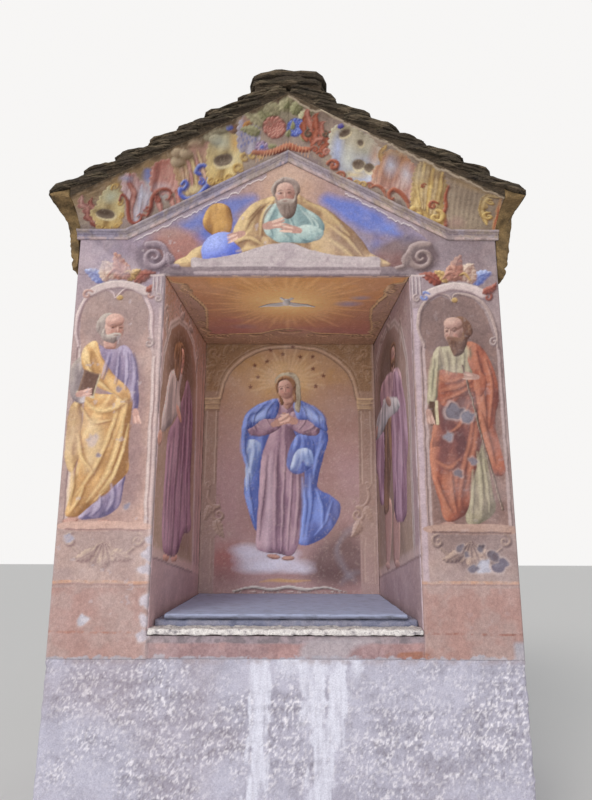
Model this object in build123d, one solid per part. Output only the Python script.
"""A wayside shrine: a masonry pier with a deep votive niche under a stone-slab roof.

Lengths are millimetres. X runs to the right of someone facing the niche, Y runs
to the back and Z runs up. The origin is on the ground at the middle of the
footprint, so the front face stands at Y = -WALL_DEPTH / 2.
"""
import os
from math import asin, cos, radians, sin, tan

from build123d import *

# Walls, measured over their plaster
WALL_WIDTH = 2300
WALL_DEPTH = 1650
COAT = 20                 # outside plaster and render
PLINTH_HEIGHT = 940
PLINTH_BATTER = 9         # how far the plinth's foot stands out of the wall
SILL_COURSE = 105         # masonry course between plinth and niche
GABLE_THICKNESS = 350

# Niche, measured inside its own plaster
NICHE_FRONT_WIDTH = 1338
NICHE_BACK_WIDTH = 1240
NICHE_DEPTH = 1250
NICHE_HEIGHT = 1865       # from the sill course to the ceiling
LINING = 15               # plaster inside the niche
CEILING_THICKNESS = 90
EAVES_RISE = 360          # niche ceiling to the top of the side walls

# Sill and altar slab
LIP_HEIGHT = 35
LIP_NOSE = 9              # how far the sill's nose stands out of the wall
LIP_ROUNDING = 0.9        # its edges' radius over the largest that fits
SLAB_SETBACK = 100
SLAB_OVERHANG = 12
SLAB_THICKNESS = 25
SLAB_GAP = 6              # between the slab and the plaster at the niche's back
SLAB_CHAMFER = 3
ALTAR_BED = 65

# Pediment moulding and cornice
ROOF_PITCH = 28.5         # degrees
MOULDING_WIDTH = 52
MOULDING_RELIEF = 32
MOULDING_FLAT = 252       # level stretch at each end of the moulding
MOULDING_DROP = 103       # moulding's top below the wall top at the corner
MOULDING_RETURN = 12      # how far each end stands past the corner
MOULDING_LEDGE = 0.35     # relief of its lower fillet over that of its upper one
LOWER_FILLET = 0.2        # height of the lower fillet over the moulding's width
UPPER_FILLET = 0.26
HOLLOW_MIDDLE = (0.52, 0.55)   # relief and height halfway up the hollow, as shares
COVE_REACH = 190          # front and rear cornice
COVE_HOLLOW = 0.85        # 1 makes the cove meet the wall or the roof in line
SIDE_COVE_REACH = 118
SIDE_COVE_DEPTH = 345     # foot of the side cornice below the wall top
CORNER_LENGTH = 250       # bare corner stones, along the side wall
STONE_JOINT = 3

# Roof of overlapping stone slabs
EAVES_OVERHANG = 132      # past the side wall
VERGE_OVERHANG = 28       # past the front and rear cornice
SLAB_ROWS = 7
ROOF_SLAB = 38
ROOF_LAP = 100
ROOF_BED = 18             # mortar under the slabs where it is thinnest
ROOF_JOINT = 6
ROOF_BEVEL = 10
RIDGE_SLAB = 76
RIDGE_WIDTH = 450
RIDGE_OVERHANG = 42       # past the mortar under them
RIDGE_BED = 10
RIDGE_CROWN = 0.6         # thickness of a ridge slab's edge over that of its middle
RIDGE_LEDGE = 134         # from the middle to where one more row would end
ROW_WIDTHS = (0.19, 0.23, 0.17, 0.24, 0.17)
ROW_SETBACKS = (0, 14, 5, 19, 9)   # how far each slab of a row lies behind its edge
RIDGE_WIDTHS = (0.29, 0.22, 0.26, 0.23)

# Levels and faces that follow from the sizes above
HALF_WIDTH = WALL_WIDTH / 2
FRONT = -WALL_DEPTH / 2
BACK = WALL_DEPTH / 2
CORE_HALF = HALF_WIDTH - COAT
CORE_FRONT = FRONT + COAT
CORE_BACK = BACK - COAT
NICHE_BACK = FRONT + NICHE_DEPTH
NICHE_FLOOR = PLINTH_HEIGHT + SILL_COURSE
CEILING = NICHE_FLOOR + NICHE_HEIGHT
STONE_CEILING = CEILING + LINING
UPPER_FLOOR = STONE_CEILING + CEILING_THICKNESS
WALL_TOP = CEILING + EAVES_RISE
RAKE = tan(radians(ROOF_PITCH))
APEX = WALL_TOP + HALF_WIDTH * RAKE
SIDE_COVE_FOOT = WALL_TOP - SIDE_COVE_DEPTH
MOULDING_TOP = WALL_TOP - MOULDING_DROP
VERGE = COVE_REACH + VERGE_OVERHANG

# One roof slab: each lies flatter than the roof, by its own thickness a row
EAVES = HALF_WIDTH + EAVES_OVERHANG
ROW_RUN = (EAVES - RIDGE_LEDGE) / SLAB_ROWS
ROW_STEP = ROW_RUN / cos(radians(ROOF_PITCH))
SLAB_TILT = radians(ROOF_PITCH) - asin(ROOF_SLAB / ROW_STEP)
SLAB_LENGTH = ROW_STEP * cos(radians(ROOF_PITCH) - SLAB_TILT) + ROOF_LAP


def rake_height(x):
    """Height of the gable's sloping top at a distance x from the middle."""
    return APEX - abs(x) * RAKE


def niche_half(y):
    """Half the niche's width at depth y, inside its plaster."""
    share = (y - FRONT) / NICHE_DEPTH
    return (NICHE_FRONT_WIDTH + share * (NICHE_BACK_WIDTH - NICHE_FRONT_WIDTH)) / 2


def along_y(points, start, end):
    """Extrude a closed outline of (x, z) points from y = start to y = end."""
    outline = Polyline(*[(x, start, z) for x, z in points], close=True)
    return extrude(make_face(outline), amount=end - start, dir=(0, 1, 0))


def along_z(points, bottom, top):
    """Extrude a closed outline of (x, y) points from z = bottom to z = top."""
    outline = Polyline(*[(x, y, bottom) for x, y in points], close=True)
    return extrude(make_face(outline), amount=top - bottom, dir=(0, 0, 1))


def block(x0, x1, y0, y1, z0, z1):
    """A plain block between two corners."""
    return Pos((x0 + x1) / 2, (y0 + y1) / 2, (z0 + z1) / 2) * Box(x1 - x0, y1 - y0, z1 - z0)


def other_side(shape):
    """The same piece on the other side of the middle plane."""
    return mirror(shape, about=Plane.YZ)


def to_rear(shape):
    """The same piece at the rear face."""
    return mirror(shape, about=Plane.XZ)


def hollow_arc(foot, tip, corner):
    """The cove's arc between two points, hollowed towards the corner it fills."""
    chord = tip - foot
    sharpest = min(chord.get_angle(corner - foot), (foot - tip).get_angle(corner - tip))
    depth = chord.length / 2 * tan(radians(COVE_HOLLOW * sharpest) / 2)
    share = (corner - foot).dot(chord) / chord.dot(chord)
    inward = (corner - (foot + chord * share)).normalized()
    return ThreePointArc(foot, foot + chord * 0.5 + inward * depth, tip)


def plinth():
    """The solid foot of the shrine, a little wider at the ground."""
    top = Pos(0, 0, PLINTH_HEIGHT) * Rectangle(WALL_WIDTH, WALL_DEPTH)
    foot = Rectangle(WALL_WIDTH + 2 * PLINTH_BATTER, WALL_DEPTH + 2 * PLINTH_BATTER)
    return loft([foot.face(), top.face()])


def sill_course():
    """The course that closes the plinth under the niche."""
    return block(-CORE_HALF, CORE_HALF, CORE_FRONT, CORE_BACK, PLINTH_HEIGHT, NICHE_FLOOR)


def right_wall():
    """The side wall right of the niche, with its splayed inner face."""
    inner_front = niche_half(CORE_FRONT) + LINING
    inner_back = niche_half(NICHE_BACK) + LINING
    plan = [(inner_front, CORE_FRONT), (CORE_HALF, CORE_FRONT),
            (CORE_HALF, NICHE_BACK + LINING), (inner_back, NICHE_BACK + LINING)]
    return along_z(plan, NICHE_FLOOR, STONE_CEILING)


def back_wall():
    """The wall behind the niche."""
    return block(-CORE_HALF, CORE_HALF, NICHE_BACK + LINING, CORE_BACK, NICHE_FLOOR, STONE_CEILING)


def ceiling_stones():
    """The bearing course that spans the niche."""
    return block(-CORE_HALF, CORE_HALF, CORE_FRONT, CORE_BACK, STONE_CEILING, UPPER_FLOOR)


def gable_outline(half_width, bottom):
    """A gable's outline, from its foot to the sloping top."""
    return [(-half_width, bottom), (half_width, bottom), (half_width, rake_height(half_width)),
            (0, APEX), (-half_width, rake_height(half_width))]


def front_gable():
    """The gable wall over the niche's mouth."""
    outline = gable_outline(CORE_HALF, UPPER_FLOOR)
    return along_y(outline, CORE_FRONT, CORE_FRONT + GABLE_THICKNESS)


def upper_fill():
    """The rubble between the two gables, over the niche."""
    outline = gable_outline(CORE_HALF, UPPER_FLOOR)
    return along_y(outline, CORE_FRONT + GABLE_THICKNESS, CORE_BACK - GABLE_THICKNESS)


def front_plaster():
    """The painted coat of the front, open at the niche."""
    coat = along_y(gable_outline(HALF_WIDTH, PLINTH_HEIGHT), FRONT, CORE_FRONT)
    half = NICHE_FRONT_WIDTH / 2
    half_inside = niche_half(CORE_FRONT)
    mouth = along_z([(-half, FRONT), (half, FRONT), (half_inside, CORE_FRONT),
                     (-half_inside, CORE_FRONT)], NICHE_FLOOR, CEILING)
    return coat - mouth


def rear_plaster():
    """The plain coat of the rear face."""
    return along_y(gable_outline(HALF_WIDTH, PLINTH_HEIGHT), CORE_BACK, BACK)


def right_plaster():
    """The plain coat of the right side wall."""
    outline = [(CORE_HALF, PLINTH_HEIGHT), (HALF_WIDTH, PLINTH_HEIGHT),
               (HALF_WIDTH, WALL_TOP), (CORE_HALF, rake_height(CORE_HALF))]
    return along_y(outline, CORE_FRONT, CORE_BACK)


def niche_right_plaster():
    """The painted lining of the niche's right wall."""
    front, back = niche_half(CORE_FRONT), niche_half(NICHE_BACK)
    plan = [(front, CORE_FRONT), (front + LINING, CORE_FRONT),
            (back + LINING, NICHE_BACK), (back, NICHE_BACK)]
    return along_z(plan, NICHE_FLOOR, CEILING)


def niche_back_plaster():
    """The painted lining of the niche's back wall."""
    half = niche_half(NICHE_BACK) + LINING
    return block(-half, half, NICHE_BACK, NICHE_BACK + LINING, NICHE_FLOOR, CEILING)


def niche_ceiling_plaster():
    """The painted lining under the bearing course."""
    front = niche_half(CORE_FRONT) + LINING
    back = niche_half(NICHE_BACK) + LINING
    plan = [(-front, CORE_FRONT), (front, CORE_FRONT),
            (back, NICHE_BACK + LINING), (-back, NICHE_BACK + LINING)]
    return along_z(plan, CEILING, STONE_CEILING)


def sill_lip():
    """The mortar sill with a rounded nose that edges the niche."""
    half = NICHE_FRONT_WIDTH / 2
    nose = FRONT - LIP_NOSE
    bed_face = FRONT + SLAB_SETBACK + SLAB_OVERHANG
    front_part = block(-half, half, nose, FRONT, NICHE_FLOOR, NICHE_FLOOR + LIP_HEIGHT)
    nose_edges = front_part.edges().filter_by(Axis.X).group_by(Axis.Y)[0]
    front_part = fillet(nose_edges, min(LIP_NOSE, LIP_HEIGHT / 2) * LIP_ROUNDING)
    inside = niche_half(bed_face)
    plan = [(-half, FRONT), (half, FRONT), (inside, bed_face), (-inside, bed_face)]
    return front_part + along_z(plan, NICHE_FLOOR, NICHE_FLOOR + LIP_HEIGHT)


def altar_bed():
    """The mortar bed that carries the altar slab."""
    face = FRONT + SLAB_SETBACK + SLAB_OVERHANG
    front, back = niche_half(face), niche_half(NICHE_BACK)
    plan = [(-front, face), (front, face), (back, NICHE_BACK), (-back, NICHE_BACK)]
    return along_z(plan, NICHE_FLOOR, NICHE_FLOOR + ALTAR_BED)


def altar_slab():
    """The thin stone slab that floors the niche, eased along its top."""
    bottom = NICHE_FLOOR + ALTAR_BED
    half = NICHE_BACK_WIDTH / 2 - SLAB_GAP
    slab = block(-half, half, FRONT + SLAB_SETBACK, NICHE_BACK, bottom, bottom + SLAB_THICKNESS)
    front_edge = slab.edges().group_by(Axis.Z)[-1].group_by(Axis.Y)[0]
    return chamfer(front_edge, SLAB_CHAMFER)


def moulding_section():
    """Section of the moulding across its run: two fillets and a hollow between."""
    width, relief, ledge = MOULDING_WIDTH, MOULDING_RELIEF, MOULDING_RELIEF * MOULDING_LEDGE
    foot = (0.0, 0.0)
    hollow_start = (-ledge, width * LOWER_FILLET)
    hollow_end = (-relief, width * (1 - UPPER_FILLET))
    middle = (-relief * HOLLOW_MIDDLE[0], width * HOLLOW_MIDDLE[1])
    lower = Polyline(foot, (-ledge, 0.0), hollow_start)
    upper = Polyline(hollow_end, (-relief, width), (0.0, width), foot)
    return make_face(lower + ThreePointArc(hollow_start, middle, hollow_end) + upper)


def pediment_moulding():
    """The right half of the moulding, level at its end and raking to the middle."""
    top_of_rake = MOULDING_TOP + (HALF_WIDTH - MOULDING_FLAT) * RAKE
    peak = top_of_rake - MOULDING_WIDTH / cos(radians(ROOF_PITCH))
    level = MOULDING_TOP - MOULDING_WIDTH
    knee = HALF_WIDTH - MOULDING_FLAT - MOULDING_WIDTH * tan(radians(ROOF_PITCH) / 2)
    end = HALF_WIDTH + MOULDING_RETURN
    path = Polyline((end, FRONT, level), (knee, FRONT, level),
                    (0, FRONT, peak), (-end, FRONT, peak - end * RAKE))
    section = Plane(origin=path @ 0, x_dir=(0, 1, 0), z_dir=(-1, 0, 0)) * moulding_section()
    whole = sweep(section, path=path, transition=Transition.RIGHT)
    return split(whole, bisect_by=Plane.YZ, keep=Keep.TOP)


def cove_section(x, foot, tip):
    """Section of the front cornice at x: the cove, its top and the wall behind."""
    a = Vector(x, FRONT, foot)
    b = Vector(x, FRONT - COVE_REACH, tip)
    c = Vector(x, FRONT, tip)
    return make_face(hollow_arc(a, b, c) + Polyline(b, c, a))


def front_cove():
    """The right half of the coved cornice under the front slope."""
    knee = HALF_WIDTH - MOULDING_FLAT
    foot_apex = MOULDING_TOP + knee * RAKE
    middle = cove_section(0, foot_apex, APEX)
    bend = cove_section(knee, MOULDING_TOP, rake_height(knee))
    corner = cove_section(HALF_WIDTH, MOULDING_TOP, WALL_TOP)
    return loft([middle, bend], ruled=True) + loft([bend, corner], ruled=True)


def eaves_underside(x):
    """Height of the lowest roof slab's underside at x."""
    return slab_corner(0)[1] + (EAVES - x) * tan(SLAB_TILT)


def side_cove_face(y):
    """Section of the side cornice at y, up to the lowest roof slab."""
    tip_x = HALF_WIDTH + SIDE_COVE_REACH
    foot = Vector(HALF_WIDTH, y, SIDE_COVE_FOOT)
    tip = Vector(tip_x, y, eaves_underside(tip_x))
    top = Vector(HALF_WIDTH, y, eaves_underside(HALF_WIDTH))
    return make_face(hollow_arc(foot, tip, top) + Polyline(tip, top, foot))


def side_cove():
    """The right side's cornice between its corner stones."""
    start = FRONT + CORNER_LENGTH
    return extrude(side_cove_face(start), amount=-2 * start, dir=(0, 1, 0))


def corner_stones():
    """Two bare stones that turn the cornice round the front right corner."""
    start, end = FRONT - COVE_REACH, FRONT + CORNER_LENGTH
    side = extrude(side_cove_face(start), amount=end - start, dir=(0, 1, 0))
    top = eaves_underside(HALF_WIDTH) + ROOF_SLAB
    foot = Vector(HALF_WIDTH, FRONT, MOULDING_TOP)
    tip = Vector(HALF_WIDTH, start, WALL_TOP)
    bottom = SIDE_COVE_FOOT - ROOF_SLAB
    rest = Polyline(tip, Vector(HALF_WIDTH, start, top), Vector(HALF_WIDTH, end, top),
                    Vector(HALF_WIDTH, end, bottom), Vector(HALF_WIDTH, FRONT, bottom), foot)
    front = make_face(hollow_arc(foot, tip, Vector(HALF_WIDTH, FRONT, WALL_TOP)) + rest)
    stones = side & extrude(front, amount=SIDE_COVE_REACH, dir=(1, 0, 0))
    joint = block(HALF_WIDTH, HALF_WIDTH + SIDE_COVE_REACH, start, end,
                  MOULDING_TOP - STONE_JOINT, MOULDING_TOP)
    return stones - joint


def slab_corner(row):
    """Underside of a row's lower edge, as (x, z), on the right slope."""
    upper_x = EAVES - SLAB_LENGTH * cos(SLAB_TILT)
    bed = ROOF_BED / cos(radians(ROOF_PITCH))
    eaves_height = rake_height(upper_x) + bed - SLAB_LENGTH * sin(SLAB_TILT)
    return EAVES - row * ROW_RUN, eaves_height + row * ROW_RUN * RAKE


def slab_point(row, up, over):
    """A point on a row's slab: a length up its slope and a height over its underside."""
    x, z = slab_corner(row)
    return (x - up * cos(SLAB_TILT) + over * sin(SLAB_TILT),
            z + up * sin(SLAB_TILT) + over * cos(SLAB_TILT))


def crossing(row, over, x):
    """Height where a row's underside, or its top, crosses a given x."""
    start_x, start_z = slab_point(row, 0, over)
    return start_z + (start_x - x) * tan(SLAB_TILT)


def roof_bed():
    """The mortar under the right slope, stepped to seat each row of slabs."""
    outline = [(HALF_WIDTH, WALL_TOP), (HALF_WIDTH, eaves_underside(HALF_WIDTH))]
    for row in range(SLAB_ROWS - 1):
        outline.append(slab_point(row, SLAB_LENGTH, 0))
        outline.append(slab_point(row, SLAB_LENGTH, ROOF_SLAB))
    outline += [(0, crossing(SLAB_ROWS - 1, 0, 0)), (0, APEX)]
    return along_y(outline, FRONT - COVE_REACH, BACK + COVE_REACH)


def spans(shares, shift):
    """Split the roof's length into slabs, as (start, end) with open joints."""
    turned = shares[shift:] + shares[:shift]
    length = WALL_DEPTH + 2 * VERGE
    start = FRONT - VERGE
    pieces = []
    for share in turned:
        width = length * share / sum(shares)
        pieces.append((start + ROOF_JOINT / 2, start + width - ROOF_JOINT / 2))
        start += width
    return pieces


def slab_outline(row, setback):
    """Section of one slab on the right slope, with a worn lower edge."""
    upper = [slab_point(row, SLAB_LENGTH, 0), slab_point(row, SLAB_LENGTH, ROOF_SLAB)]
    if row == SLAB_ROWS - 1:
        side = ROOF_JOINT / 2
        upper = [(side, crossing(row, 0, side)), (side, crossing(row, ROOF_SLAB, side))]
    return [slab_point(row, setback + ROOF_BEVEL, 0), *upper,
            slab_point(row, setback, ROOF_SLAB), slab_point(row, setback, ROOF_BEVEL)]


def slab_row(row):
    """One row of slabs on the right slope, laid side by side with open joints."""
    turn = row % len(ROW_WIDTHS)
    setbacks = ROW_SETBACKS[turn:] + ROW_SETBACKS[:turn]
    places = zip(spans(ROW_WIDTHS, turn), setbacks)
    return Compound(children=[along_y(slab_outline(row, setback), *span)
                              for span, setback in places])


def ridge_level():
    """Height of the ridge slabs' underside."""
    return crossing(SLAB_ROWS - 1, ROOF_SLAB, 0) + RIDGE_BED


def ridge_bed():
    """The mortar that levels the two slopes for the ridge slabs."""
    half = RIDGE_WIDTH / 2 - RIDGE_OVERHANG
    low = crossing(SLAB_ROWS - 1, ROOF_SLAB, half)
    peak = crossing(SLAB_ROWS - 1, ROOF_SLAB, 0)
    outline = [(-half, low), (0, peak), (half, low), (half, ridge_level()), (-half, ridge_level())]
    return along_y(outline, FRONT - COVE_REACH, BACK + COVE_REACH)


def ridge_slabs():
    """Flat slabs laid across the ridge."""
    half = RIDGE_WIDTH / 2
    level = ridge_level()
    edge, crown = level + RIDGE_SLAB * RIDGE_CROWN, level + RIDGE_SLAB
    outline = [(-half, level), (half, level), (half, edge), (half * RIDGE_CROWN, crown),
               (-half * RIDGE_CROWN, crown), (-half, edge)]
    return Compound(children=[along_y(outline, start, end)
                              for start, end in spans(RIDGE_WIDTHS, 0)])


def build_nodes():
    """Every piece of the shrine by its name."""
    nodes = {
        "plinth": plinth(),
        "sill_course": sill_course(),
        "back_wall": back_wall(),
        "ceiling_stones": ceiling_stones(),
        "front_gable": front_gable(),
        "rear_gable": to_rear(front_gable()),
        "upper_fill": upper_fill(),
        "front_plaster": front_plaster(),
        "rear_plaster": rear_plaster(),
        "niche_back_plaster": niche_back_plaster(),
        "niche_ceiling_plaster": niche_ceiling_plaster(),
        "sill_lip": sill_lip(),
        "altar_bed": altar_bed(),
        "altar_slab": altar_slab(),
        "ridge_bed": ridge_bed(),
        "ridge_slabs": ridge_slabs(),
    }
    paired = {
        "wall": right_wall(),
        "plaster": right_plaster(),
        "niche_plaster": niche_right_plaster(),
        "pediment_moulding": pediment_moulding(),
        "front_cove": front_cove(),
        "rear_cove": to_rear(front_cove()),
        "side_cove": side_cove(),
        "front_corner_stones": corner_stones(),
        "rear_corner_stones": to_rear(corner_stones()),
        "roof_bed": roof_bed(),
    }
    for row in range(SLAB_ROWS):
        paired[f"slab_row_{row + 1}"] = slab_row(row)
    for name, piece in paired.items():
        nodes[f"right_{name}"] = piece
        nodes[f"left_{name}"] = other_side(piece)
    return nodes


os.makedirs("parts", exist_ok=True)
for node_name, node_shape in build_nodes().items():
    export_step(node_shape, f"parts/{node_name}.step")
